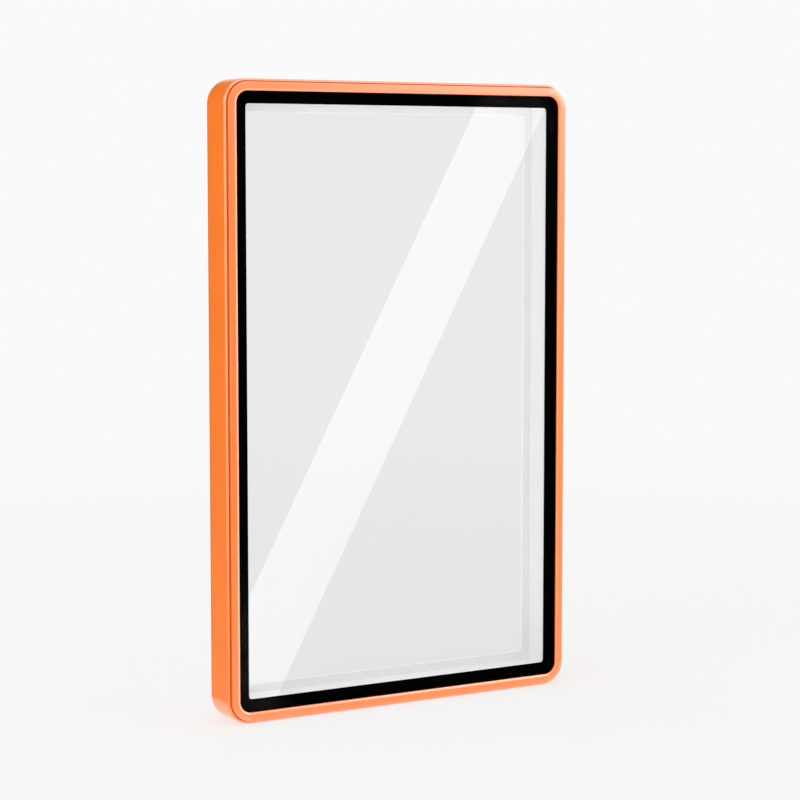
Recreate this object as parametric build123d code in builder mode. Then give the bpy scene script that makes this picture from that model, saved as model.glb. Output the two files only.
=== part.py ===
"""Display case for one graded trading card slab.

Two anodised aluminium frames, each with a clear window: a thin cover in front and a deeper case
behind it. The cover drops inside the rim of the case and is held by pairs of bar magnets. The slab
stands in a soft liner between the two windows.

The case stands on its lower edge. X is the width, Y the depth with the front at -Y, Z the height.
The origin is the middle of the base. Places across the depth are distances behind the front face,
and places across the width and height are insets from the case's outer faces.
"""

import os

from build123d import *

# ---------------------------------------------------------------- driving dimensions, millimetres

# The slab and the room it has
slab_width = 81.0
slab_height = 135.6
slab_thickness = 6.4
slab_side_clearance = 0.5
slab_depth_clearance = 0.4

# Walls round the slab, from the inside out
liner_wall = 1.0
liner_fit = 0.05
frame_wall = 4.3

# Corners, seen from the front
corner_radius = 5.6
sight_corner_radius = 0.8

# Cover: bezel, lip and the fingernail groove behind it
cover_setback = 0.7
bezel_width = 2.0
bezel_chamfer_width = 0.5
bezel_chamfer_depth = 0.15
window_recess = 0.3
lip_thickness = 0.35
lip_fillet = 0.2
groove_width = 0.45
groove_depth = 0.55

# Cover: the spigot that stands on the shoulder of the case, and the ledge under the window
spigot_clearance = 0.1
spigot_lead_in = 0.25
ledge_width = 1.3
ledge_thickness = 1.35

# Case: rim, back lip and outer edges
rim_wall = 0.6
rim_chamfer = 0.4
rim_lead_in = 0.1
back_lip_thickness = 1.25
back_lip_chamfer = 0.3
back_radius = 3.2

# Windows, the printed border and the bonding tapes
cover_window_thickness = 1.0
case_window_thickness = 1.5
window_clearance = 0.1
border_thickness = 0.1
border_overhang = 0.25
tape_thickness = 0.15
tape_margin = 0.15

# Liner: the flange that the slab's face rests on, and its gap to the cover
liner_flange_width = 2.0
liner_flange_thickness = 1.0
liner_mouth_chamfer = 0.4
liner_cover_gap = 0.3

# Magnets: bars in pockets, in pairs
magnet_length = 10.0
magnet_width = 2.0
magnet_thickness = 1.0
magnet_pocket_clearance = 0.05
magnet_face_recess = 0.05
magnet_inset = 2.6
magnet_corner_distance = 26.0

# ---------------------------------------------------------------------------------- worked out

# Insets from the outer faces
sight_inset = frame_wall + liner_wall
case_width = slab_width + 2 * (slab_side_clearance + sight_inset)
case_height = slab_height + 2 * (slab_side_clearance + sight_inset)
bezel_inset = cover_setback + bezel_width
groove_inset = cover_setback + groove_depth
spigot_inset = rim_wall + spigot_clearance
ledge_inset = bezel_inset + ledge_width
cover_window_inset = bezel_inset + window_clearance
border_inset = sight_inset + border_overhang
case_window_inset = frame_wall + window_clearance

# Depths behind the front face
rim_front = lip_thickness + groove_width
cover_window_back = window_recess + cover_window_thickness
border_back = cover_window_back + border_thickness
ledge_front = border_back + tape_thickness
cover_back = ledge_front + ledge_thickness
shoulder_front = cover_back
liner_front = border_back + liner_cover_gap
flange_front = cover_window_back + slab_thickness + slab_depth_clearance
case_window_front = flange_front + liner_flange_thickness
case_window_back = case_window_front + case_window_thickness
back_lip_front = case_window_back + tape_thickness
case_depth = back_lip_front + back_lip_thickness

# Magnet pockets
pocket_depth = magnet_thickness + magnet_face_recess
pocket_width = magnet_width + 2 * magnet_pocket_clearance
pocket_length = magnet_length + 2 * magnet_pocket_clearance
magnet_side_x = case_width / 2 - magnet_inset
magnet_end_z = case_height / 2 - magnet_inset
magnet_high_z = case_height / 2 - magnet_corner_distance

# Each magnet pair: place seen from the front about the middle of the case, and turn of the bar
UPRIGHT = 90
LEVEL = 0
magnet_places = {
    "left_high": (-magnet_side_x, magnet_high_z, UPRIGHT),
    "left_middle": (-magnet_side_x, 0, UPRIGHT),
    "left_low": (-magnet_side_x, -magnet_high_z, UPRIGHT),
    "right_high": (magnet_side_x, magnet_high_z, UPRIGHT),
    "right_middle": (magnet_side_x, 0, UPRIGHT),
    "right_low": (magnet_side_x, -magnet_high_z, UPRIGHT),
    "top": (0, magnet_end_z, LEVEL),
    "bottom": (0, -magnet_end_z, LEVEL),
}
magnet_locations = [Location((x, z, 0), (0, 0, turn)) for x, z, turn in magnet_places.values()]


def across(depth):
    """Plane across the case, `depth` behind its front face, seen from the front: X right, Z up."""
    origin = (0, depth - case_depth / 2, case_height / 2)
    return Plane(origin=origin, x_dir=(1, 0, 0), z_dir=(0, -1, 0))


def outline(inset, mode=Mode.ADD):
    """Rounded rectangle `inset` inside the case's outer faces, with its corners concentric."""
    radius = max(corner_radius - inset, sight_corner_radius)
    return RectangleRounded(case_width - 2 * inset, case_height - 2 * inset, radius, mode=mode)


# ------------------------------------------------------------------------------- cover: the frame

with BuildPart() as cover_frame:
    # The lip, whose front is the bezel
    with BuildSketch(across(lip_thickness)):
        outline(cover_setback)
    extrude(amount=lip_thickness)

    # The neck behind it, which is the floor of the fingernail groove
    with BuildSketch(across(rim_front)):
        outline(groove_inset)
    extrude(amount=groove_width)

    # The spigot that drops inside the rim of the case
    with BuildSketch(across(cover_back)):
        outline(spigot_inset)
    extrude(amount=cover_back - rim_front)

    # Rebate that takes the window from the front
    with BuildSketch(across(ledge_front)):
        outline(bezel_inset)
    extrude(amount=ledge_front, mode=Mode.SUBTRACT)

    # Opening inside the ledge
    with BuildSketch(across(cover_back)):
        outline(ledge_inset)
    extrude(amount=ledge_thickness, mode=Mode.SUBTRACT)

    # Broken edges: the bezel inside and out, and the end of the spigot
    bezel_face = cover_frame.faces().filter_by(Axis.Y).sort_by(Axis.Y)[0]
    bezel_rim = bezel_face.inner_wires().edges()
    chamfer(bezel_rim, bezel_chamfer_width, bezel_chamfer_depth, reference=bezel_face)
    bezel_face = cover_frame.faces().filter_by(Axis.Y).sort_by(Axis.Y)[0]
    fillet(bezel_face.outer_wire().edges(), lip_fillet)
    spigot_face = cover_frame.faces().filter_by(Axis.Y).sort_by(Axis.Y)[-1]
    chamfer(spigot_face.outer_wire().edges(), spigot_lead_in)

    # Pockets for the magnets, open to the rear
    with BuildSketch(across(cover_back)):
        with Locations(*magnet_locations):
            Rectangle(pocket_length, pocket_width)
    extrude(amount=pocket_depth, mode=Mode.SUBTRACT)

# ------------------------------------------------------------------------------ cover: the window

with BuildPart() as cover_window:
    with BuildSketch(across(cover_window_back)):
        outline(cover_window_inset)
    extrude(amount=cover_window_thickness)

# The black border printed on the back of the window, out to its edge
with BuildPart() as cover_window_border:
    with BuildSketch(across(border_back)):
        outline(cover_window_inset)
        outline(border_inset, mode=Mode.SUBTRACT)
    extrude(amount=border_thickness)

# The tape between the border and the ledge
with BuildPart() as cover_window_tape:
    with BuildSketch(across(ledge_front)):
        outline(cover_window_inset + tape_margin)
        outline(ledge_inset - tape_margin, mode=Mode.SUBTRACT)
    extrude(amount=tape_thickness)

# -------------------------------------------------------------------------------- case: the frame

with BuildPart() as case_frame:
    with BuildSketch(across(case_depth)):
        outline(0)
    extrude(amount=case_depth - rim_front)

    # The soft outer edge at the back, and the edge that catches light beside the groove
    back_face = case_frame.faces().filter_by(Axis.Y).sort_by(Axis.Y)[-1]
    fillet(back_face.edges(), back_radius)
    rim_face = case_frame.faces().filter_by(Axis.Y).sort_by(Axis.Y)[0]
    chamfer(rim_face.edges(), rim_chamfer)

    # Recess inside the rim for the spigot, down to the shoulder
    with BuildSketch(across(shoulder_front)):
        outline(rim_wall)
    extrude(amount=shoulder_front - rim_front, mode=Mode.SUBTRACT)

    # Cavity for the liner and the rear window, down to the back lip
    with BuildSketch(across(back_lip_front)):
        outline(frame_wall)
    extrude(amount=back_lip_front - shoulder_front, mode=Mode.SUBTRACT)

    # Opening through the back lip
    with BuildSketch(across(case_depth)):
        outline(sight_inset)
    extrude(amount=back_lip_thickness, mode=Mode.SUBTRACT)

    # Pockets for the magnets in the shoulder, open to the front
    with BuildSketch(across(shoulder_front + pocket_depth)):
        with Locations(*magnet_locations):
            Rectangle(pocket_length, pocket_width)
    extrude(amount=pocket_depth, mode=Mode.SUBTRACT)

    # Broken edges: the mouth of the rim and the opening at the back
    rim_face = case_frame.faces().filter_by(Axis.Y).sort_by(Axis.Y)[0]
    chamfer(rim_face.inner_wires().edges(), rim_lead_in)
    back_face = case_frame.faces().filter_by(Axis.Y).sort_by(Axis.Y)[-1]
    chamfer(back_face.inner_wires().edges(), back_lip_chamfer)

# ------------------------------------------------------------------------------- case: the window

with BuildPart() as case_window:
    with BuildSketch(across(case_window_back)):
        outline(case_window_inset)
    extrude(amount=case_window_thickness)

# The tape between the window and the back lip
with BuildPart() as case_window_tape:
    with BuildSketch(across(back_lip_front)):
        outline(case_window_inset + tape_margin)
        outline(sight_inset - tape_margin, mode=Mode.SUBTRACT)
    extrude(amount=tape_thickness)

# --------------------------------------------------------------------------------- case: the liner

with BuildPart() as slab_liner:
    # Wall round the edge of the slab, up to the back of the cover's window
    with BuildSketch(across(case_window_front)):
        outline(frame_wall + liner_fit)
        outline(sight_inset, mode=Mode.SUBTRACT)
    extrude(amount=case_window_front - liner_front)

    # Flange under the face of the slab
    with BuildSketch(across(case_window_front)):
        outline(sight_inset)
        outline(sight_inset + liner_flange_width, mode=Mode.SUBTRACT)
    extrude(amount=liner_flange_thickness)

    # Lead-in for the slab
    mouth_face = slab_liner.faces().filter_by(Axis.Y).sort_by(Axis.Y)[0]
    chamfer(mouth_face.inner_wires().edges(), liner_mouth_chamfer)

# ------------------------------------------------------------------------------------ the magnets

cover_magnets = {}
case_magnets = {}
for place, magnet_location in zip(magnet_places, magnet_locations):
    # In the cover, on the floor of its pocket and just below the end of the spigot
    with BuildPart() as cover_magnet:
        with BuildSketch(across(cover_back - magnet_face_recess)):
            with Locations(magnet_location):
                Rectangle(magnet_length, magnet_width)
        extrude(amount=magnet_thickness)
    cover_magnets[f"cover_magnet_{place}"] = cover_magnet

    # In the case, on the floor of its pocket and just below the shoulder
    with BuildPart() as case_magnet:
        with BuildSketch(across(shoulder_front + pocket_depth)):
            with Locations(magnet_location):
                Rectangle(magnet_length, magnet_width)
        extrude(amount=magnet_thickness)
    case_magnets[f"case_magnet_{place}"] = case_magnet

# ---------------------------------------------------------------------------------------- export

pieces = {
    "cover_frame": cover_frame,
    "cover_window": cover_window,
    "cover_window_border": cover_window_border,
    "cover_window_tape": cover_window_tape,
    **cover_magnets,
    "case_frame": case_frame,
    "case_window": case_window,
    "case_window_tape": case_window_tape,
    "slab_liner": slab_liner,
    **case_magnets,
}

os.makedirs("parts", exist_ok=True)
for name, piece in pieces.items():
    piece.part.label = name
    export_step(piece.part, f"parts/{name}.step")
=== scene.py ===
"""Looks of a magnetic display case for one graded trading card slab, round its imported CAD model.

Lengths are metres in the model's own frame: X is the width, Y the depth with the front at -Y and Z
the height, with the origin in the middle of the base. A frame's section is drawn from insets, which
count inwards from the case's outer faces, and depths, which count back from its front face.
"""

import math
from functools import partial

import bpy
from bpy.props import FloatProperty, FloatVectorProperty, IntProperty, PointerProperty
from mathutils import Matrix, Vector


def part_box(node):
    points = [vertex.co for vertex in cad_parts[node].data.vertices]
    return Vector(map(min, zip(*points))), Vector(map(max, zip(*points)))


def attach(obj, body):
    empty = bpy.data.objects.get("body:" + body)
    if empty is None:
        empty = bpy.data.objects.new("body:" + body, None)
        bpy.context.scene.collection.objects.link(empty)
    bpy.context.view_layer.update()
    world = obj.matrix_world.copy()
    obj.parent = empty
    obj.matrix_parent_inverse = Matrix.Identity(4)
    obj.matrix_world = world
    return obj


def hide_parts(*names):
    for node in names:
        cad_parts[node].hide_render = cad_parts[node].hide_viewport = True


bl_info = {
    "name": "Card Slab Display Case",
    "version": (1, 0, 0),
    "blender": (4, 5, 0),
    "location": "3D View > Sidebar > Display Case",
    "description": "Builds a card slab display case's finished pieces, its studio and camera",
    "category": "Object",
}

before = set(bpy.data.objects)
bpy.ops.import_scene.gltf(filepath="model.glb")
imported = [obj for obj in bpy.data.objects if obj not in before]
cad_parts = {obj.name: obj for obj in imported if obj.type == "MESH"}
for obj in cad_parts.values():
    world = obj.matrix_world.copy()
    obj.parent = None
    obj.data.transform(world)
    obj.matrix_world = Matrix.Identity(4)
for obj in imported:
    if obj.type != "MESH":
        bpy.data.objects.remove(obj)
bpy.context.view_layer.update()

MM = 0.001
QUARTER_TURN = math.pi / 2
# Vertices nearer than this, in metres, are one
MERGE_DISTANCE = 1e-6

# How far the cutter of a magnet's pocket stands out of the face that it cuts
POCKET_CUTTER_REACH = 0.4 * MM
# An edge that turns more than the first is bevelled, and more than the second creases a frame
BEVEL_ANGLE = math.radians(40)
CREASE_ANGLE = math.radians(35)
# The weight at which a Weighted Normal modifier favours large faces most
FLATS_WEIGHT = 100

ACRYLIC_IOR = 1.49
SCHLICK_POWER = 5.0
# The share of plain acrylic's reflection that its anti-reflection coating leaves
COATED_SHINE = 0.035
# The material slot of a window's polished faces. Its first slot is for coated ones
POLISHED_SLOT = 1
# Height of a surface's relief at a bump strength of 1
RELIEF = 0.02 * MM
# The span that a noise's values mostly keep to
NOISE_SPAN = {"From Min": 0.3, "From Max": 0.7}

# The table top, and where it fades from taking shadow to plain backdrop
FLOOR_RADIUS = 6.0
FLOOR_SIDES = 96
FLOOR_PAPER = "E8E8E8"
FLOOR_SHADOW_REACH = 0.12
FLOOR_FADE_REACH = 0.6

# Sockets of a Mix node that mixes colours
MIX_FACTOR, MIX_A, MIX_B, MIX_RESULT = 0, 6, 7, 2

CAMERA_SENSOR_WIDTH = 36.0
CAMERA_CLIP = (0.01, 50.0)

# The room that the case mirrors. Each step rises from none to full between two values of one
# coordinate of the direction from the case, and a patch combines two steps or earlier patches
ROOM_STEPS = {
    "behind": ("Y", -0.15, 0.35),
    "on the right": ("X", 0.1, 0.5),
    "above": ("Z", 0.04, 0.2),
    "not behind": ("Y", 0.3, -0.1),
    "side wall": ("X", 0.58, 0.68),
    "glow ahead": ("Y", -0.95, -0.98),
    "skylight": ("Z", 0.6, 0.8),
    "low": ("Z", 0.0, -1.1),
    "on the left": ("X", -0.1, -0.4),
    "beneath": ("Z", -0.215, -0.3),
    "in front": ("Y", 0.0, -0.6),
    "to the right": ("X", 0.0, 0.35),
}
ROOM_PATCHES = (
    ("backdrop", "MULTIPLY", "behind", "on the right"),
    ("ceiling", "MULTIPLY", "above", "not behind"),
    ("low left", "MULTIPLY", "low", "on the left"),
    ("table", "MAXIMUM", "low left", "beneath"),
    ("bright table", "MULTIPLY", "in front", "to the right"),
)
# The soft light. Each part rises in the same way, from the ambient level to a setting's
SOFT_LIGHTS = (
    ("overhead", "Z", 0.2, 0.9),
    ("bounce", "Z", -0.2, -0.7),
    ("left_wall", "X", -0.4, -0.9),
)

# Softboxes: name, place, (width, height) and radiance. They face the middle of the case
SOFTBOX_TARGET = (0.0, 0.0, 0.07)
SOFTBOXES = (
    ("Left softbox", (-0.855, -0.311, 0.26), (0.8, 0.8), 1.45),
    ("Right softbox", (0.543, -0.718, 0.262), (0.32, 0.14), 4.4),
)

# The strip light far in front on the right, whose reflection crosses the window aslant
STRIP_PLACE = (0.7437, -1.2882, -0.0599)
STRIP_ACROSS = (0.76644, 0.48836, -0.41723)
STRIP_ALONG = (0.51399, -0.07674, 0.85436)
STRIP_SIZE = (0.0566, 0.72)

MAGNET_PLACES = (
    "left_high",
    "left_middle",
    "left_low",
    "right_high",
    "right_middle",
    "right_low",
    "top",
    "bottom",
)


# ---------------------------------------- colour


def linear(hex_colour):
    """An sRGB colour such as "FF8800" as linear red, green and blue."""
    channels = [int(hex_colour[i : i + 2], 16) / 255 for i in (0, 2, 4)]
    return [c / 12.92 if c <= 0.04045 else ((c + 0.055) / 1.055) ** 2.4 for c in channels]


def grey(radiance):
    """Neutral light of some radiance, as an opaque colour."""
    return (radiance, radiance, radiance, 1.0)


def colour(name, description, hex_colour):
    """A colour property whose default is an sRGB hex value."""
    return FloatVectorProperty(
        name=name,
        description=description,
        default=linear(hex_colour),
        subtype="COLOR",
        min=0.0,
        max=1.0,
    )


def length(name, description, millimetres):
    """A length property whose default is given in millimetres."""
    return FloatProperty(
        name=name,
        description=description,
        default=millimetres * MM,
        min=0.0,
        precision=5,
        subtype="DISTANCE",
        unit="LENGTH",
    )


def angle(name, description, degrees):
    """An angle property whose default is given in degrees."""
    return FloatProperty(
        name=name, description=description, default=math.radians(degrees), subtype="ANGLE"
    )


def steps(name, description, default, least, most):
    """A count property, of the flat segments that stand for a curve."""
    return IntProperty(name=name, description=description, default=default, min=least, max=most)


def brightness(name, description, radiance):
    """A radiance property. A white surface in even light of radiance 1 shows as plain white."""
    return FloatProperty(name=name, description=description, default=radiance, min=0.0)


# ---------------------------------------- properties


class CaseSizes(bpy.types.PropertyGroup):
    """Lengths of the frames' and the liner's sections, and how finely they are drawn"""

    corner_radius: length("Corner radius", "Outer corner of the case, seen from the front", 5.6)
    sight_radius: length("Sight corner radius", "Corner of the clear opening", 0.8)
    sight_inset: length("Sight inset", "From the case's outer face to the opening at the back", 5.3)
    border_inset: length("Border inset", "From the case's outer face to the clear window", 5.55)
    bezel_inset: length("Bezel inset", "From the case's outer face to the edge of the window", 2.7)
    bezel_chamfer: length("Bezel chamfer", "Width of the bevel inside the bezel", 0.5)
    bezel_chamfer_depth: length("Bezel chamfer depth", "Fall of the bevel inside the bezel", 0.15)
    lip_thickness: length("Lip thickness", "Thickness of the cover's outer edge", 0.35)
    lip_radius: length("Lip radius", "Rounding of the cover's front edge", 0.2)
    groove_inset: length("Groove inset", "Floor of the fingernail groove", 1.25)
    spigot_inset: length("Spigot inset", "Outside of the spigot inside the rim", 0.7)
    spigot_lead_in: length("Spigot lead-in", "Chamfer round the end of the spigot", 0.25)
    ledge_inset: length("Ledge inset", "Inner edge of the ledge under the window", 4.0)
    ledge_front: length("Ledge front", "Depth of the ledge that carries the window", 1.55)
    rim_wall: length("Rim wall", "Thickness of the rim round the spigot", 0.6)
    rim_chamfer: length("Rim chamfer", "Bevel on the rim beside the groove", 0.4)
    frame_wall: length("Frame wall", "Thickness of the case's walls", 4.3)
    shoulder_front: length("Shoulder front", "Depth of the shoulder that holds the magnets", 2.9)
    back_lip: length("Back lip", "Thickness of the lip behind the rear window", 1.25)
    back_radius: length("Back radius", "Rounding of the back edges", 3.2)
    edge_break: length("Edge break", "Rounding left by blasting on machined edges", 0.06)
    back_chamfer: length("Back chamfer", "Bevel round the opening at the back", 0.3)
    rim_lead_in: length("Rim lead-in", "Bevel round the mouth of the rim", 0.1)
    rim_front: length("Rim front", "Depth of the rim's front edge", 0.8)
    print_gap: length("Print gap", "From the front window to the print behind it", 0.02)
    window_edge: length("Window edge", "Polished bevel round an acrylic window", 0.12)
    # The black on the front window's edge is painted shade: it darkens the rebate wall seen through
    # the edge
    ink: length("Edge painted shade", "Thickness of the black ink on the front window's edge", 0.05)
    liner_inset: length("Liner inset", "Outside of the slab liner", 4.35)
    liner_flange: length("Liner flange", "Width of the liner's flange under the slab", 2.0)
    liner_flange_thickness: length("Flange thickness", "Thickness of the liner's flange", 1.0)
    liner_lead_in: length("Liner lead-in", "Bevel round the liner's mouth", 0.4)
    liner_edge: length("Liner edge", "Rounding of the moulded liner's edges", 0.2)
    magnet_edge: length("Magnet edge", "Rounding of the plated bars' edges", 0.12)
    pocket_clearance: length("Pocket clearance", "Gap round each magnet in its pocket", 0.05)
    corner_steps: steps("Corner steps", "Segments in each rounded corner of a frame", 20, 4, 64)
    edge_steps: steps("Edge steps", "Segments in each rounded edge of a section", 6, 1, 24)


class CaseFinishes(bpy.types.PropertyGroup):
    """Colours of the case's materials"""

    anodised: colour("Anodised orange", "Dye of the anodised aluminium frames", "FF7E1A")
    print_black: colour("Print black", "Screen print round the front window", "040404")
    tape_black: colour("Tape black", "Acrylic foam bonding tape", "1C1C1D")
    silicone: colour("Silicone", "Frosted slab liner", "F8F8F8")
    nickel: colour("Nickel", "Plating of the magnets", "C9C3B8")
    acrylic: colour("Acrylic", "Tint of each face of the clear windows", "FCFCFC")


class StudioSettings(bpy.types.PropertyGroup):
    """The camera's place, and the colours and lights round the case"""

    azimuth: angle("Azimuth", "Camera's angle round the case, from straight in front", -30.70)
    elevation: angle("Elevation", "Camera's angle above the horizon", 5.54)
    distance: length("Distance", "From the camera to the point that it looks at", 551.8)
    aim: FloatVectorProperty(
        name="Aim",
        description="Point that the camera looks at",
        default=(-1.16 * MM, -5.95 * MM, 72.89 * MM),
        subtype="XYZ",
        unit="LENGTH",
    )
    focal_length: FloatProperty(
        name="Focal length",
        description="Of the lens, in millimetres, on a sensor 36 mm wide",
        default=105.54,
        min=10.0,
        subtype="DISTANCE_CAMERA",
    )
    backdrop: colour("Backdrop", "Paper behind and under the case", "FAFAFA")
    room: colour("Room", "Dark walls that the case mirrors", "202020")
    ambient: brightness("Ambient", "Radiance of the light from all round", 0.36)
    overhead: brightness("Overhead", "Radiance of the soft light from above", 1.25)
    left_wall: brightness("Left wall", "Radiance of the soft light from the left", 1.15)
    bounce: brightness("Bounce", "Radiance of the soft light from below", 1.6)
    ceiling: brightness("Ceiling", "Radiance of the mirrored ceiling", 1.2)
    side_wall: brightness("Side wall", "Radiance of the mirrored wall on the right", 3.1)
    skylight: brightness("Skylight", "Radiance mirrored from right overhead", 2.0)
    ahead: brightness("Glow ahead", "Radiance mirrored from straight ahead", 1.6)
    table: brightness("Table", "Radiance of the mirrored table where it is brightest", 2.1)
    strip: brightness("Strip light", "Radiance of the strip light", 3.9)
    floor_cover: FloatProperty(
        name="Floor cover",
        description="How far the floor shows as plain backdrop instead of taking shadow",
        default=0.66,
        subtype="FACTOR",
        min=0.0,
        max=1.0,
    )


# ---------------------------------------- helpers


def add_node(tree, kind, inputs=None, **attributes):
    """Adds a node. An input, by name or number, gets a value, a socket or a node's first output."""
    node = tree.nodes.new(kind)
    for name, value in attributes.items():
        setattr(node, name, value)
    for socket, value in (inputs or {}).items():
        if isinstance(value, bpy.types.Node):
            tree.links.new(value.outputs[0], node.inputs[socket])
        elif isinstance(value, bpy.types.NodeSocket):
            tree.links.new(value, node.inputs[socket])
        else:
            node.inputs[socket].default_value = value
    return node


def add_object(name, data):
    """Puts an object with some data in the scene."""
    thing = bpy.data.objects.new(name, data)
    bpy.context.scene.collection.objects.link(thing)
    return thing


def new_tree(name, inputs):
    """A Geometry Nodes tree with one geometry in and out, and named inputs with defaults."""
    tree = bpy.data.node_groups.new(name, "GeometryNodeTree")
    tree.is_modifier = True
    tree.interface.new_socket("Geometry", in_out="OUTPUT", socket_type="NodeSocketGeometry")
    tree.interface.new_socket("Geometry", in_out="INPUT", socket_type="NodeSocketGeometry")
    for socket_name, kind, default in inputs:
        socket = tree.interface.new_socket(
            socket_name, in_out="INPUT", socket_type="NodeSocket" + kind
        )
        if default is not None:
            socket.default_value = default
    return tree


def finish_tree(tree, geometry, material):
    """Ends a Geometry Nodes tree: its instances are made real and its material is set."""
    real = add_node(tree, "GeometryNodeRealizeInstances", {"Geometry": geometry})
    painted = add_node(tree, "GeometryNodeSetMaterial", {"Geometry": real, "Material": material})
    add_node(tree, "NodeGroupOutput", {"Geometry": painted})


def grow(name, base, tree, values):
    """Runs a tree on some base data and leaves the result as an object with a plain mesh.

    The values go to the tree's inputs by name, and to the modifier's by their identifiers.
    """
    carrier = add_object(name + "_base", base)
    modifier = carrier.modifiers.new(tree.name, "NODES")
    modifier.node_group = tree
    for item in tree.interface.items_tree:
        if item.item_type == "SOCKET" and item.in_out == "INPUT" and item.name in values:
            modifier[item.identifier] = values[item.name]
    depsgraph = bpy.context.evaluated_depsgraph_get()
    mesh = bpy.data.meshes.new_from_object(
        carrier.evaluated_get(depsgraph), preserve_all_data_layers=True, depsgraph=depsgraph
    )
    bpy.data.objects.remove(carrier)
    if not mesh.polygons:
        raise RuntimeError(name + ": the tree made no faces")
    mesh.name = name
    return add_object(name, mesh)


def keep_flats(piece):
    """Shades a piece so that its flats look flat beside rounded edges."""
    flats = piece.modifiers.new("Flats", "WEIGHTED_NORMAL")
    flats.keep_sharp = True
    flats.weight = FLATS_WEIGHT


def finish_edges(piece, edge_width, segments):
    """Rounds every sharp edge of a piece by a live Bevel, and keeps its flats flat."""
    bevel = piece.modifiers.new("Bevel", "BEVEL")
    bevel.width = edge_width
    bevel.segments = segments
    bevel.limit_method = "ANGLE"
    bevel.angle_limit = BEVEL_ANGLE
    keep_flats(piece)


def settle(piece, body, slot, *nodes):
    """Makes a finished piece ride on its body and stand for CAD nodes, which it hides. Its slot is
    not used.
    """
    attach(piece, body)
    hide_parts(*nodes)


def dress(node, material):
    """Gives a CAD node that stays in view its material."""
    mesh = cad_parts[node].data
    mesh.materials.clear()
    mesh.materials.append(material)


# ---------------------------------------- materials


def new_material(name):
    """A material whose node tree is empty, and that tree."""
    material = bpy.data.materials.new(name)
    material.use_nodes = True
    material.node_tree.nodes.clear()
    return material, material.node_tree


def anodised_aluminium(tree, finishes):
    """Aluminium, milled, bead blasted and anodised orange: wide soft highlights, a fine grain."""
    add = partial(add_node, tree)
    place = add("ShaderNodeTexCoord").outputs["Object"]
    # Blasting leaves dimples of about 0.08 mm, drawn at 0.22 mm, which is the finest that shows
    dimples = add(
        "ShaderNodeTexNoise",
        {"Vector": place, "Scale": 1 / (0.22 * MM), "Detail": 2.0, "Roughness": 0.6},
    )
    bump = add("ShaderNodeBump", {"Height": dimples, "Strength": 0.18, "Distance": RELIEF})
    # The dye takes a little unevenly, over some 12 mm, in its strength and in its sheen
    clouds = add("ShaderNodeTexNoise", {"Vector": place, "Scale": 1 / (12 * MM), "Detail": 3.0})
    sheen, strength = (
        add("ShaderNodeMapRange", {"Value": clouds, **NOISE_SPAN, "To Min": low, "To Max": high})
        for low, high in ((0.47, 0.53), (0.97, 1.02))
    )
    dye = add("ShaderNodeHueSaturation", {"Color": (*finishes.anodised, 1.0), "Value": strength})
    return add(
        "ShaderNodeBsdfPrincipled",
        {
            "Base Color": dye,
            "Metallic": 0.08,
            "Roughness": sheen,
            "Specular IOR Level": 0.25,
            "Coat Weight": 0.85,
            "Coat Roughness": 0.23,
            "Coat IOR": 2.2,
            "Normal": bump,
        },
    )


def clear_acrylic(tree, finishes, shine=1.0):
    """Cast acrylic sheet, polished: what is behind shows a little greyed, under sharp reflections.

    Shine is the share of plain acrylic's reflection that the surface keeps. The reflection follows
    Schlick's rule, which is the same from both sides, so that a sheet's two faces look alike.
    """
    add = partial(add_node, tree)
    through = add("ShaderNodeBsdfTransparent", {"Color": (*finishes.acrylic, 1.0)})
    mirror = add("ShaderNodeBsdfGlossy", {"Roughness": 0.0})
    # At a blend of 0.5, Facing is 1 less the cosine of the tilt
    tilt = add("ShaderNodeLayerWeight", {"Blend": 0.5}).outputs["Facing"]
    grazing = add("ShaderNodeMath", {0: tilt, 1: SCHLICK_POWER}, operation="POWER")
    head_on = ((ACRYLIC_IOR - 1) / (ACRYLIC_IOR + 1)) ** 2
    share = add(
        "ShaderNodeMath",
        {0: grazing, 1: shine * (1 - head_on), 2: shine * head_on},
        operation="MULTIPLY_ADD",
    )
    return add("ShaderNodeMixShader", {0: share, 1: through, 2: mirror})


def coated_acrylic(tree, finishes):
    """Cast acrylic sheet with an anti-reflection coating: as clear, with hardly a reflection."""
    return clear_acrylic(tree, finishes, COATED_SHINE)


def black_print(tree, finishes):
    """Screen-printed ink on the back of the window: dense, matte and even."""
    return add_node(
        tree,
        "ShaderNodeBsdfPrincipled",
        {"Base Color": (*finishes.print_black, 1.0), "Roughness": 0.6, "Specular IOR Level": 0.0},
    )


def bonding_tape(tree, finishes):
    """Acrylic foam tape: black, closed cells, slightly tacky."""
    add = partial(add_node, tree)
    place = add("ShaderNodeTexCoord").outputs["Object"]
    # The foam's cells are about 0.25 mm across
    cells = add("ShaderNodeTexVoronoi", {"Vector": place, "Scale": 1 / (0.25 * MM)})
    bump = add("ShaderNodeBump", {"Height": cells, "Strength": 0.3, "Distance": RELIEF})
    return add(
        "ShaderNodeBsdfPrincipled",
        {"Base Color": (*finishes.tape_black, 1.0), "Roughness": 0.7, "Normal": bump},
    )


def frosted_silicone(tree, finishes):
    """Moulded silicone rubber, frosted: pale, light soaks into it and its shine is faint."""
    add = partial(add_node, tree)
    place = add("ShaderNodeTexCoord").outputs["Object"]
    # An etched mould leaves a frosting of about 0.3 mm
    frosting = add("ShaderNodeTexNoise", {"Vector": place, "Scale": 1 / (0.3 * MM), "Detail": 2.0})
    bump = add("ShaderNodeBump", {"Height": frosting, "Strength": 0.1, "Distance": RELIEF})
    return add(
        "ShaderNodeBsdfPrincipled",
        {
            "Base Color": (*finishes.silicone, 1.0),
            "Roughness": 0.55,
            "Subsurface Weight": 0.4,
            "Subsurface Radius": (1.0, 1.0, 1.0),
            "Subsurface Scale": 1.0 * MM,
            "Normal": bump,
        },
    )


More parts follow.
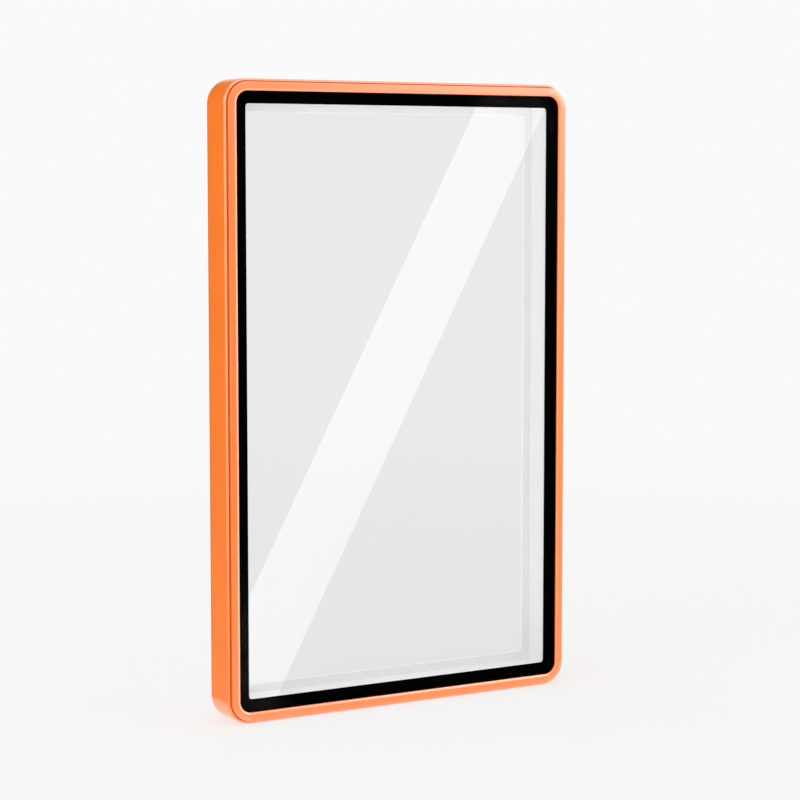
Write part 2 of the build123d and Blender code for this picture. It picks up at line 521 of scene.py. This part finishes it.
def nickel_plate(tree, finishes):
    """Bright nickel on sintered neodymium: a warm grey mirror with fine rubbing marks."""
    add = partial(add_node, tree)
    place = add("ShaderNodeTexCoord").outputs["Object"]
    # Rubbing dulls the plate in spots of about 0.5 mm
    rubbing = add(
        "ShaderNodeTexNoise",
        {"Vector": place, "Scale": 1 / (0.5 * MM), "Detail": 4.0, "Roughness": 0.7},
    )
    dulled = add(
        "ShaderNodeMapRange", {"Value": rubbing, **NOISE_SPAN, "To Min": 0.16, "To Max": 0.32}
    )
    return add(
        "ShaderNodeBsdfPrincipled",
        {"Base Color": (*finishes.nickel, 1.0), "Metallic": 1.0, "Roughness": dulled},
    )


# Each finish: the material's name and what makes its surface
FINISHES = {
    "anodised": ("Anodised aluminium, bead blasted", anodised_aluminium),
    "print": ("Screen-print ink, black", black_print),
    "tape": ("Acrylic foam tape, black", bonding_tape),
    "silicone": ("Silicone rubber, frosted", frosted_silicone),
    "nickel": ("Nickel plate", nickel_plate),
    "acrylic_coated": ("Cast acrylic, anti-reflection coated", coated_acrylic),
    "acrylic_polished": ("Cast acrylic, polished", clear_acrylic),
}
materials_made = {}


def finish_of(kind):
    """The material of one finish, made once from the scene's colours."""
    if kind not in materials_made:
        name, surface_of = FINISHES[kind]
        material, tree = new_material(name)
        surface = surface_of(tree, bpy.context.scene.case_finishes)
        add_node(tree, "ShaderNodeOutputMaterial", {"Surface": surface})
        materials_made[kind] = material
    return materials_made[kind]


# ---------------------------------------- geometry node trees


def reach_sums(size, circle, result):
    """The sums for a vertex's distance from the middle along one axis, by its sine or cosine."""
    return (
        ("half", "MULTIPLY", size, 0.5),
        ("to the bend", "SUBTRACT", "half", "margin"),
        ("way", circle, "middle angle"),
        ("side", "SIGN", "way"),
        ("centre", "MULTIPLY", "to the bend", "side"),
        ("swing", circle, "angle"),
        ("from centre", "MULTIPLY", "bend", "swing"),
        (result, "ADD", "centre", "from centre"),
    )


# The sums that put each vertex of the loft's grid in its place. Each has a name, an operation and
# its terms: numbers, earlier sums, inputs of the tree, or what the tree reads of the section.
# A half is added before a division, so that rounding can't set a vertex back by a row or quarter
LOFT_SUMS = (
    # Rows go round the outline, so many stops to a quarter of it, and columns round the section.
    # There is one more of each, which falls on the first
    ("stops", "ADD", "Corner steps", 1),
    ("rows", "MULTIPLY", "stops", 4),
    ("grid rows", "ADD", "rows", 1),
    ("grid columns", "ADD", "points", 1),
    ("past the vertex", "ADD", "index", 0.5),
    ("rows passed", "DIVIDE", "past the vertex", "grid columns"),
    ("grid row", "FLOOR", "rows passed"),
    ("row", "MODULO", "grid row", "rows"),
    ("grid column", "MODULO", "index", "grid columns"),
    ("column", "MODULO", "grid column", "points"),
    # The vertex's quarter, its angle round the quarter's bend, and the angle of that bend's middle
    ("past the row", "ADD", "row", 0.5),
    ("quarters passed", "DIVIDE", "past the row", "stops"),
    ("quarter", "FLOOR", "quarters passed"),
    ("first stop", "MULTIPLY", "quarter", "stops"),
    ("stop", "SUBTRACT", "row", "first stop"),
    ("share", "DIVIDE", "stop", "Corner steps"),
    ("turns", "ADD", "quarter", "share"),
    ("angle", "MULTIPLY", "turns", QUARTER_TURN),
    ("middle turns", "ADD", "quarter", 0.5),
    ("middle angle", "MULTIPLY", "middle turns", QUARTER_TURN),
    # The bend's radius on the vertex's own outline, and how far in from the faces its centre is
    ("radius inside", "SUBTRACT", "Corner radius", "inset"),
    ("bend", "MAXIMUM", "radius inside", "Least radius"),
    ("margin", "ADD", "inset", "bend"),
    *reach_sums("Width", "COSINE", "x"),
    ("y", "ADD", "Front", "depth"),
    *reach_sums("Height", "SINE", "height"),
    ("z", "ADD", "Middle", "height"),
)


def frame_loft_tree():
    """Lofts a closed section round a rounded rectangle, each point of it on its own outline.

    The section is a curve in its XY plane: X is a point's inset, Y its depth, and its radius the
    rounding of that corner. An outline's corner radius is the outer one less the inset, but never
    less than the least radius. Pockets, if any, are cut from the result.
    """
    inputs = (
        ("Width", "Float", 0.1),
        ("Height", "Float", 0.15),
        ("Front", "Float", 0.0),
        ("Middle", "Float", 0.0),
        ("Corner radius", "Float", 0.005),
        ("Least radius", "Float", 0.001),
        ("Corner steps", "Int", 16),
        ("Edge steps", "Int", 4),
        ("Sharp angle", "Float", 0.6),
        ("Pockets", "Object", None),
        ("Cut pockets", "Bool", False),
        ("Material", "Material", None),
    )
    tree = new_tree("Frame loft", inputs)
    add = partial(add_node, tree)
    given = add("NodeGroupInput").outputs

    # The section, with its corners rounded by their own radii, and its point for a vertex's column
    radius = add("GeometryNodeInputRadius")
    section = add(
        "GeometryNodeFilletCurve",
        {
            "Curve": given["Geometry"],
            "Count": given["Edge steps"],
            "Radius": radius,
            "Limit Radius": True,
        },
        mode="POLY",
    )
    count = add("GeometryNodeAttributeDomainSize", {"Geometry": section}, component="CURVE")
    position = add("GeometryNodeInputPosition")
    sample = add(
        "GeometryNodeSampleIndex",
        {"Geometry": section, "Value": position},
        data_type="FLOAT_VECTOR",
        domain="POINT",
    )
    place = add("ShaderNodeSeparateXYZ", {0: sample}).outputs

    terms = dict(given.items())
    terms["index"] = add("GeometryNodeInputIndex")
    terms["points"] = count.outputs["Point Count"]
    terms["inset"] = place["X"]
    terms["depth"] = place["Y"]
    for name, operation, *parts in LOFT_SUMS:
        values = {number: terms.get(part, part) for number, part in enumerate(parts)}
        terms[name] = add("ShaderNodeMath", values, operation=operation)
    tree.links.new(terms["column"].outputs["Value"], sample.inputs["Index"])

    # The grid, drawn into the lofted shape and closed where its ends meet
    grid = add(
        "GeometryNodeMeshGrid",
        {"Vertices X": terms["grid rows"], "Vertices Y": terms["grid columns"]},
    )
    target = add("ShaderNodeCombineXYZ", {"X": terms["x"], "Y": terms["y"], "Z": terms["z"]})
    shaped = add("GeometryNodeSetPosition", {"Geometry": grid, "Position": target})
    closed = add("GeometryNodeMergeByDistance", {"Geometry": shaped, "Distance": MERGE_DISTANCE})

    # Pockets cut by another object's solids
    pockets = add("GeometryNodeObjectInfo", {"Object": given["Pockets"]})
    cut = add(
        "GeometryNodeMeshBoolean",
        {"Mesh 1": closed, "Mesh 2": pockets.outputs["Geometry"]},
        operation="DIFFERENCE",
        solver="EXACT",
    )
    chosen = add(
        "GeometryNodeSwitch",
        {"Switch": given["Cut pockets"], "False": closed, "True": cut},
        input_type="GEOMETRY",
    )

    # Smooth faces that stay crisp where two of them meet at a marked angle
    smooth = add("GeometryNodeSetShadeSmooth", {"Geometry": chosen}, domain="FACE")
    edge_angle = add("GeometryNodeInputMeshEdgeAngle").outputs["Unsigned Angle"]
    sharp = add(
        "FunctionNodeCompare",
        {"A": edge_angle, "B": given["Sharp angle"]},
        data_type="FLOAT",
        operation="GREATER_THAN",
    )
    creased = add(
        "GeometryNodeSetShadeSmooth",
        {"Geometry": smooth, "Selection": sharp, "Shade Smooth": False},
        domain="EDGE",
    )
    finish_tree(tree, creased, given["Material"])
    return tree


def bars_tree():
    """Puts a bar at each point, its length along X before the point's own turn about Y."""
    inputs = (
        ("Length", "Float", 0.01),
        ("Thickness", "Float", 0.001),
        ("Width", "Float", 0.002),
        ("Material", "Material", None),
    )
    tree = new_tree("Bars at points", inputs)
    add = partial(add_node, tree)
    given = add("NodeGroupInput").outputs
    size = add(
        "ShaderNodeCombineXYZ", {"X": given["Length"], "Y": given["Thickness"], "Z": given["Width"]}
    )
    bar = add("GeometryNodeMeshCube", {"Size": size})
    turn = add("GeometryNodeInputNamedAttribute", {"Name": "turn"}, data_type="FLOAT")
    rotation = add("ShaderNodeCombineXYZ", {"Y": turn})
    placed = add(
        "GeometryNodeInstanceOnPoints",
        {"Points": given["Geometry"], "Instance": bar, "Rotation": rotation},
    )
    finish_tree(tree, placed, given["Material"])
    return tree


# ---------------------------------------- pieces' data


def section_curve(name, corners):
    """A closed section from (inset, depth, rounding) corners, all in metres."""
    curve = bpy.data.curves.new(name, "CURVE")
    curve.dimensions = "3D"
    spline = curve.splines.new("POLY")
    spline.points.add(len(corners) - 1)
    for point, (inset, depth, rounding) in zip(spline.points, corners):
        point.co = (inset, depth, 0.0, 1.0)
        point.radius = rounding
    spline.use_cyclic_u = True
    return curve


def magnet_nodes(body):
    """The names of the CAD nodes that are one body's magnets."""
    return [f"{body}_magnet_{place}" for place in MAGNET_PLACES]


def inset_and_depths(node):
    """A CAD node's inset from the case's outer faces, and the depths of its front and back."""
    low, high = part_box(node)
    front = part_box("cover_frame")[0].y
    return low.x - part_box("case_frame")[0].x, low.y - front, high.y - front


def bar_points(name, nodes, reach=0.0):
    """A point in the middle of each of some CAD bars, with its turn, and the size of one bar.

    The bars are all of one size. Reach moves their rear end back, or where it is negative, their
    front end forwards.
    """
    centres, turns = [], []
    for node in nodes:
        low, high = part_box(node)
        size = high - low
        centres.append((low + high) / 2 + Vector((0, reach / 2, 0)))
        turns.append(QUARTER_TURN if size.z > size.x else 0.0)
    mesh = bpy.data.meshes.new(name)
    mesh.from_pydata(centres, [], [])
    turn = mesh.attributes.new("turn", "FLOAT", "POINT")
    turn.data.foreach_set("value", turns)
    return mesh, (max(size.x, size.z), size.y + abs(reach), min(size.x, size.z))


def rounded_outline(inset, sizes):
    """Corners of a rounded rectangle inside the case's outer faces, as (x, z), anticlockwise."""
    low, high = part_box("case_frame")
    middle = (low + high) / 2
    radius = max(sizes.corner_radius - inset, sizes.sight_radius)
    half_x = (high.x - low.x) / 2 - inset - radius
    half_z = (high.z - low.z) / 2 - inset - radius
    outline = []
    for quarter in range(4):
        across = 1 if quarter in (0, 3) else -1
        up = 1 if quarter in (0, 1) else -1
        for step in range(sizes.corner_steps + 1):
            turn = (quarter + step / sizes.corner_steps) * QUARTER_TURN
            x = middle.x + across * half_x + radius * math.cos(turn)
            z = middle.z + up * half_z + radius * math.sin(turn)
            outline.append((x, z))
    return outline


def loft(name, corners, material, sizes, pockets=None):
    """A frame or liner: its section taken round the case by the loft tree."""
    low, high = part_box("case_frame")
    tree = bpy.data.node_groups.get("Frame loft") or frame_loft_tree()
    values = {
        "Width": high.x - low.x,
        "Height": high.z - low.z,
        "Front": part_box("cover_frame")[0].y,
        "Middle": (low.z + high.z) / 2,
        "Corner radius": sizes.corner_radius,
        "Least radius": sizes.sight_radius,
        "Corner steps": sizes.corner_steps,
        "Edge steps": sizes.edge_steps,
        "Sharp angle": CREASE_ANGLE,
        "Pockets": pockets,
        "Cut pockets": pockets is not None,
        "Material": material,
    }
    piece = grow(name, section_curve(name, corners), tree, values)
    keep_flats(piece)
    return piece


def bars(name, nodes, material, clearance=0.0, reach=0.0):
    """The bars that some CAD nodes are, or the pockets round them."""
    tree = bpy.data.node_groups.get("Bars at points") or bars_tree()
    mesh, (bar_length, thickness, width) = bar_points(name, nodes, reach)
    values = {
        "Length": bar_length + 2 * clearance,
        "Thickness": thickness,
        "Width": width + 2 * clearance,
        "Material": material,
    }
    return grow(name, mesh, tree, values)


def pocketed_frame(body, corners, sizes, reach):
    """Makes a body's frame from its section, with the pockets of its magnets cut."""
    pockets = bars(f"{body}_pockets", magnet_nodes(body), None, sizes.pocket_clearance, reach)
    piece = loft(f"{body}_frame_finished", corners, finish_of("anodised"), sizes, pockets)
    bpy.data.objects.remove(pockets)
    settle(piece, body, "anodised_aluminium", f"{body}_frame")


def window_sheet(node, bare_inset, sizes):
    """A sheet in a CAD window's place. Its back is bare inside an inset and bonded outside it."""
    low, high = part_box(node)
    front, back = low.y, high.y - sizes.print_gap
    edge = rounded_outline(inset_and_depths(node)[0], sizes)
    bare = rounded_outline(bare_inset, sizes)
    count = len(edge)
    rings = (
        [(x, front, z) for x, z in edge],
        [(x, back, z) for x, z in edge],
        [(x, back, z) for x, z in bare],
    )
    # The front, then the edge and the bonded margin, and last the bare middle of the back
    faces = [tuple(range(count))]
    for near in (0, count):
        far = near + count
        for i in range(count):
            j = (i + 1) % count
            faces.append((near + j, near + i, far + i, far + j))
    faces.append(tuple(range(3 * count - 1, 2 * count - 1, -1)))
    mesh = bpy.data.meshes.new(node + "_sheet")
    mesh.from_pydata([corner for ring in rings for corner in ring], [], faces)
    mesh.materials.append(finish_of("acrylic_coated"))
    mesh.materials.append(finish_of("acrylic_polished"))
    mesh.shade_smooth()
    return add_object(node + "_sheet", mesh)


# ---------------------------------------- operators


class DISPLAYCASE_OT_cover_frame(bpy.types.Operator):
    """Makes the cover's frame: bezel, fingernail groove, window rebate, spigot and pockets"""

    bl_idname = "displaycase.cover_frame"
    bl_label = "Cover Frame"

    def execute(self, context):
        sizes = context.scene.case_sizes
        setback, _, back = inset_and_depths("cover_frame")
        broken = sizes.edge_break
        corners = (
            (setback, 0.0, sizes.lip_radius),
            (setback, sizes.lip_thickness, broken),
            (sizes.groove_inset, sizes.lip_thickness, broken),
            (sizes.groove_inset, sizes.rim_front, 0.0),
            (sizes.spigot_inset, sizes.rim_front, 0.0),
            (sizes.spigot_inset, back - sizes.spigot_lead_in, broken),
            (sizes.spigot_inset + sizes.spigot_lead_in, back, broken),
            (sizes.ledge_inset, back, broken),
            (sizes.ledge_inset, sizes.ledge_front, broken),
            (sizes.bezel_inset, sizes.ledge_front, 0.0),
            (sizes.bezel_inset, sizes.bezel_chamfer_depth, broken),
            (sizes.bezel_inset - sizes.bezel_chamfer, 0.0, broken),
        )
        pocketed_frame("cover", corners, sizes, POCKET_CUTTER_REACH)
        return {"FINISHED"}


class DISPLAYCASE_OT_case_frame(bpy.types.Operator):
    """Makes the case's frame: rim, shoulder with pockets, cavity and rounded back"""

    bl_idname = "displaycase.case_frame"
    bl_label = "Case Frame"

    def execute(self, context):
        sizes = context.scene.case_sizes
        back = inset_and_depths("case_frame")[2]
        lip_front = back - sizes.back_lip
        broken = sizes.edge_break
        corners = (
            (sizes.rim_chamfer, sizes.rim_front, broken),
            (0.0, sizes.rim_front + sizes.rim_chamfer, broken),
            (0.0, back, sizes.back_radius),
            (sizes.sight_inset - sizes.back_chamfer, back, broken),
            (sizes.sight_inset, back - sizes.back_chamfer, broken),
            (sizes.sight_inset, lip_front, broken),
            (sizes.frame_wall, lip_front, 0.0),
            (sizes.frame_wall, sizes.shoulder_front, broken),
            (sizes.rim_wall, sizes.shoulder_front, 0.0),
            (sizes.rim_wall, sizes.rim_front + sizes.rim_lead_in, broken),
            (sizes.rim_wall - sizes.rim_lead_in, sizes.rim_front, broken),
        )
        pocketed_frame("case", corners, sizes, -POCKET_CUTTER_REACH)
        return {"FINISHED"}


class DISPLAYCASE_OT_slab_liner(bpy.types.Operator):
    """Makes the soft liner that the slab stands in, with its flange and lead-in"""

    bl_idname = "displaycase.slab_liner"
    bl_label = "Slab Liner"

    def execute(self, context):
        sizes = context.scene.case_sizes
        mouth, back = inset_and_depths("slab_liner")[1:]
        flange = back - sizes.liner_flange_thickness
        rounding = sizes.liner_edge
        corners = (
            (sizes.liner_inset, mouth, rounding),
            (sizes.liner_inset, back, rounding),
            (sizes.sight_inset + sizes.liner_flange, back, rounding),
            (sizes.sight_inset + sizes.liner_flange, flange, rounding),
            (sizes.sight_inset, flange, rounding),
            (sizes.sight_inset, mouth + sizes.liner_lead_in, rounding),
            (sizes.sight_inset - sizes.liner_lead_in, mouth, rounding),
        )
        liner = loft("slab_liner_finished", corners, finish_of("silicone"), sizes)
        settle(liner, "case", "frosted_silicone", "slab_liner")
        return {"FINISHED"}


class DISPLAYCASE_OT_windows(bpy.types.Operator):
    """Makes the two clear windows with their polished edges"""

    bl_idname = "displaycase.windows"
    bl_label = "Windows"

    def execute(self, context):
        sizes = context.scene.case_sizes
        # The front sheet's bare back keeps its full shine, and the print is just clear of it
        front = window_sheet("cover_window", sizes.border_inset, sizes)
        front.data.polygons[-1].material_index = POLISHED_SLOT
        finish_edges(front, sizes.window_edge, segments=2)
        settle(front, "cover", "clear_acrylic", "cover_window")
        rear = window_sheet("case_window", sizes.sight_inset, sizes)
        finish_edges(rear, sizes.window_edge, segments=2)
        settle(rear, "case", "clear_acrylic", "case_window")
        return {"FINISHED"}


class DISPLAYCASE_OT_magnets(bpy.types.Operator):
    """Makes the plated bar magnets in the cover and in the case"""

    bl_idname = "displaycase.magnets"
    bl_label = "Magnets"

    def execute(self, context):
        sizes = context.scene.case_sizes
        for body in ("cover", "case"):
            nodes = magnet_nodes(body)
            magnets = bars(f"{body}_magnets_plated", nodes, finish_of("nickel"))
            magnets.data.shade_smooth()
            finish_edges(magnets, sizes.magnet_edge, segments=3)
            settle(magnets, body, "nickel_plate", *nodes)
        return {"FINISHED"}


class DISPLAYCASE_OT_border_and_tapes(bpy.types.Operator):
    """Finishes the printed border and the bonding tapes, and paints shade in black on the front
    window's edge
    """

    bl_idname = "displaycase.border_and_tapes"
    bl_label = "Border and Tapes"

    def execute(self, context):
        dress("cover_window_border", finish_of("print"))
        dress("cover_window_tape", finish_of("tape"))
        dress("case_window_tape", finish_of("tape"))
        sizes = context.scene.case_sizes
        # Painted shade: a black band on the front window's edge darkens the rebate wall seen
        # through it
        inset, front, far = inset_and_depths("cover_window")
        inner = inset - sizes.print_gap
        outer = inner - sizes.ink
        near = front + sizes.window_edge
        corners = ((outer, near, 0.0), (outer, far, 0.0), (inner, far, 0.0), (inner, near, 0.0))
        ink = loft("cover_window_edge_ink", corners, finish_of("print"), sizes)
        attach(ink, "cover")
        return {"FINISHED"}


class DISPLAYCASE_OT_studio(bpy.types.Operator):
    """Makes the floor, the lights, the room and the camera"""

    bl_idname = "displaycase.studio"
    bl_label = "Studio"

    def execute(self, context):
        studio = context.scene.case_studio
        self.make_camera(studio)
        self.make_room(studio)
        self.make_floor(studio)
        for name, place, size, radiance in SOFTBOXES:
            away = (Vector(place) - Vector(SOFTBOX_TARGET)).normalized()
            turn = away.to_track_quat("Z", "Y").to_matrix()
            self.make_lamp(name, place, turn, size, radiance)
        across, along = Vector(STRIP_ACROSS), Vector(STRIP_ALONG)
        turn = Matrix((across, along, across.cross(along))).transposed()
        self.make_lamp("Strip light", STRIP_PLACE, turn, STRIP_SIZE, studio.strip)
        context.scene.view_settings.view_transform = "Standard"
        return {"FINISHED"}

    def make_camera(self, studio):
        """The camera, aimed from its angle and distance."""
        data = bpy.data.cameras.new("Camera")
        data.lens = studio.focal_length
        data.sensor_width = CAMERA_SENSOR_WIDTH
        data.sensor_fit = "HORIZONTAL"
        data.clip_start, data.clip_end = CAMERA_CLIP
        camera = add_object("Camera", data)
        turn, tilt = studio.azimuth, studio.elevation
        back = Vector(
            (math.sin(turn) * math.cos(tilt), -math.cos(turn) * math.cos(tilt), math.sin(tilt))
        )
        camera.location = Vector(studio.aim) + studio.distance * back
        camera.rotation_euler = back.to_track_quat("Z", "Y").to_euler()
        bpy.context.scene.camera = camera

    def make_room(self, studio):
        """The world: backdrop to the camera, a lit room to gloss and soft light to all the rest.

        The room's walls are dark, with the backdrop behind on the right, a bright wall on the right
        and a glow straight ahead. Over them are a ceiling and a skylight, and under them a table
        that is brightest in front on the right. The soft light is from above, below and the left.
        """
        world = bpy.data.worlds.new("Studio room")
        world.use_nodes = True
        world.cycles.sampling_method = "NONE"
        bpy.context.scene.world = world
        tree = world.node_tree
        tree.nodes.clear()
        add = partial(add_node, tree)
        way = add("ShaderNodeTexCoord").outputs["Generated"]
        part = add("ShaderNodeSeparateXYZ", {0: way}).outputs
        rays = add("ShaderNodeLightPath").outputs

        # How much of each patch is in a direction, and how bright the table is there
        shares = {}
        for name, (axis, start, end) in ROOM_STEPS.items():
            shares[name] = add(
                "ShaderNodeMapRange",
                {"Value": part[axis], "From Min": start, "From Max": end},
                interpolation_type="SMOOTHSTEP",
            )
        for name, operation, first, second in ROOM_PATCHES:
            shares[name] = add(
                "ShaderNodeMath", {0: shares[first], 1: shares[second]}, operation=operation
            )
        gain = add(
            "ShaderNodeMapRange",
            {"Value": shares["bright table"], "To Min": 1.0, "To Max": studio.table},
            interpolation_type="SMOOTHSTEP",
        )
        table_light = add(
            "ShaderNodeVectorMath", {0: studio.backdrop, "Scale": gain}, operation="SCALE"
        )

        # Each patch lies over the ones before it
        backdrop = (*studio.backdrop, 1.0)
        room = (*studio.room, 1.0)
        for name, light in (
            ("backdrop", backdrop),
            ("ceiling", grey(studio.ceiling)),
            ("side wall", grey(studio.side_wall)),
            ("glow ahead", grey(studio.ahead)),
            ("skylight", grey(studio.skylight)),
            ("table", table_light),
        ):
            layer = {MIX_FACTOR: shares[name], MIX_A: room, MIX_B: light}
            room = add("ShaderNodeMix", layer, data_type="RGBA").outputs[MIX_RESULT]

        # The brightest part of the soft light in a direction counts there
        soft = studio.ambient
        for setting, axis, start, end in SOFT_LIGHTS:
            levels = {"To Min": studio.ambient, "To Max": getattr(studio, setting)}
            fade = add(
                "ShaderNodeMapRange",
                {"Value": part[axis], "From Min": start, "From Max": end, **levels},
                interpolation_type="SMOOTHSTEP",
            )
            soft = add("ShaderNodeMath", {0: soft, 1: fade}, operation="MAXIMUM")

        # Gloss and glass see the room, the camera sees the backdrop, and the rest sees soft light
        mirrored = add(
            "ShaderNodeMath",
            {0: rays["Is Glossy Ray"], 1: rays["Is Transmission Ray"]},
            operation="MAXIMUM",
        )
        seen = soft
        for share, light in ((mirrored, room), (rays["Is Camera Ray"], backdrop)):
            layer = {MIX_FACTOR: share, MIX_A: seen, MIX_B: light}
            seen = add("ShaderNodeMix", layer, data_type="RGBA").outputs[MIX_RESULT]
        sky = add("ShaderNodeBackground", {"Color": seen, "Strength": 1.0})
        add("ShaderNodeOutputWorld", {"Surface": sky})

    def make_floor(self, studio):
        """A round white table top. It shows as backdrop, the more so the further out it is."""
        rim = [
            (FLOOR_RADIUS * math.cos(turn), FLOOR_RADIUS * math.sin(turn), 0.0)
            for turn in (2 * math.pi * i / FLOOR_SIDES for i in range(FLOOR_SIDES))
        ]
        mesh = bpy.data.meshes.new("Table top")
        mesh.from_pydata(rim, [], [tuple(range(FLOOR_SIDES))])
        material, tree = new_material("Seamless paper, white")
        material.cycles.emission_sampling = "NONE"
        add = partial(add_node, tree)
        place = add("ShaderNodeTexCoord").outputs["Object"]
        away = add("ShaderNodeVectorMath", {0: place}, operation="LENGTH")
        cover = add(
            "ShaderNodeMapRange",
            {
                "Value": away.outputs["Value"],
                "From Min": FLOOR_SHADOW_REACH,
                "From Max": FLOOR_FADE_REACH,
                "To Min": studio.floor_cover,
                "To Max": 1.0,
            },
            interpolation_type="SMOOTHSTEP",
        )
        # Only what is seen, straight or in a mirror or through glass, is covered
        rays = add("ShaderNodeLightPath").outputs
        seen = rays["Is Camera Ray"]
        for kind in ("Is Glossy Ray", "Is Transmission Ray"):
            seen = add("ShaderNodeMath", {0: seen, 1: rays[kind]}, operation="MAXIMUM")
        share = add("ShaderNodeMath", {0: cover, 1: seen}, operation="MULTIPLY")
        paper = add("ShaderNodeBsdfDiffuse", {"Color": (*linear(FLOOR_PAPER), 1.0)})
        glow = add("ShaderNodeEmission", {"Color": (*studio.backdrop, 1.0), "Strength": 1.0})
        surface = add("ShaderNodeMixShader", {0: share, 1: paper, 2: glow})
        add("ShaderNodeOutputMaterial", {"Surface": surface})
        mesh.materials.append(material)
        floor = add_object("Table_top", mesh)
        # Mirrored and bounced, the table is the room's own
        floor.visible_glossy = False
        floor.visible_diffuse = False

    def make_lamp(self, name, place, turn, size, radiance):
        """A rectangular lamp of some radiance, turned by a rotation matrix."""
        data = bpy.data.lights.new(name, "AREA")
        data.shape = "RECTANGLE"
        data.size, data.size_y = size
        data.energy = radiance * math.pi * size[0] * size[1]
        lamp = add_object(name, data)
        lamp.location = place
        lamp.rotation_euler = turn.to_euler()


# ---------------------------------------- panel


class DISPLAYCASE_PT_panel(bpy.types.Panel):
    """Lists the case's pieces and their settings"""

    bl_idname = "DISPLAYCASE_PT_panel"
    bl_label = "Card Slab Display Case"
    bl_space_type = "VIEW_3D"
    bl_region_type = "UI"
    bl_category = "Display Case"

    def draw(self, context):
        layout = self.layout
        for heading, group in (
            ("Sizes", context.scene.case_sizes),
            ("Finishes", context.scene.case_finishes),
            ("Studio", context.scene.case_studio),
        ):
            box = layout.box()
            box.label(text=heading)
            for name in group.bl_rna.properties.keys():
                if name not in ("rna_type", "name"):
                    box.prop(group, name)
        for operator in OPERATORS:
            layout.operator(operator.bl_idname)


OPERATORS = (
    DISPLAYCASE_OT_studio,
    DISPLAYCASE_OT_case_frame,
    DISPLAYCASE_OT_slab_liner,
    DISPLAYCASE_OT_cover_frame,
    DISPLAYCASE_OT_windows,
    DISPLAYCASE_OT_magnets,
    DISPLAYCASE_OT_border_and_tapes,
)
CLASSES = (CaseSizes, CaseFinishes, StudioSettings, *OPERATORS, DISPLAYCASE_PT_panel)


def register():
    for cls in CLASSES:
        bpy.utils.register_class(cls)
    bpy.types.Scene.case_sizes = PointerProperty(type=CaseSizes)
    bpy.types.Scene.case_finishes = PointerProperty(type=CaseFinishes)
    bpy.types.Scene.case_studio = PointerProperty(type=StudioSettings)


def unregister():
    del bpy.types.Scene.case_studio
    del bpy.types.Scene.case_finishes
    del bpy.types.Scene.case_sizes
    for cls in reversed(CLASSES):
        bpy.utils.unregister_class(cls)


def main():
    """Makes every piece and the studio."""
    register()
    bpy.ops.displaycase.studio()
    bpy.ops.displaycase.case_frame()
    bpy.ops.displaycase.slab_liner()
    bpy.ops.displaycase.cover_frame()
    bpy.ops.displaycase.windows()
    bpy.ops.displaycase.magnets()
    bpy.ops.displaycase.border_and_tapes()


if __name__ == "__main__":
    main()
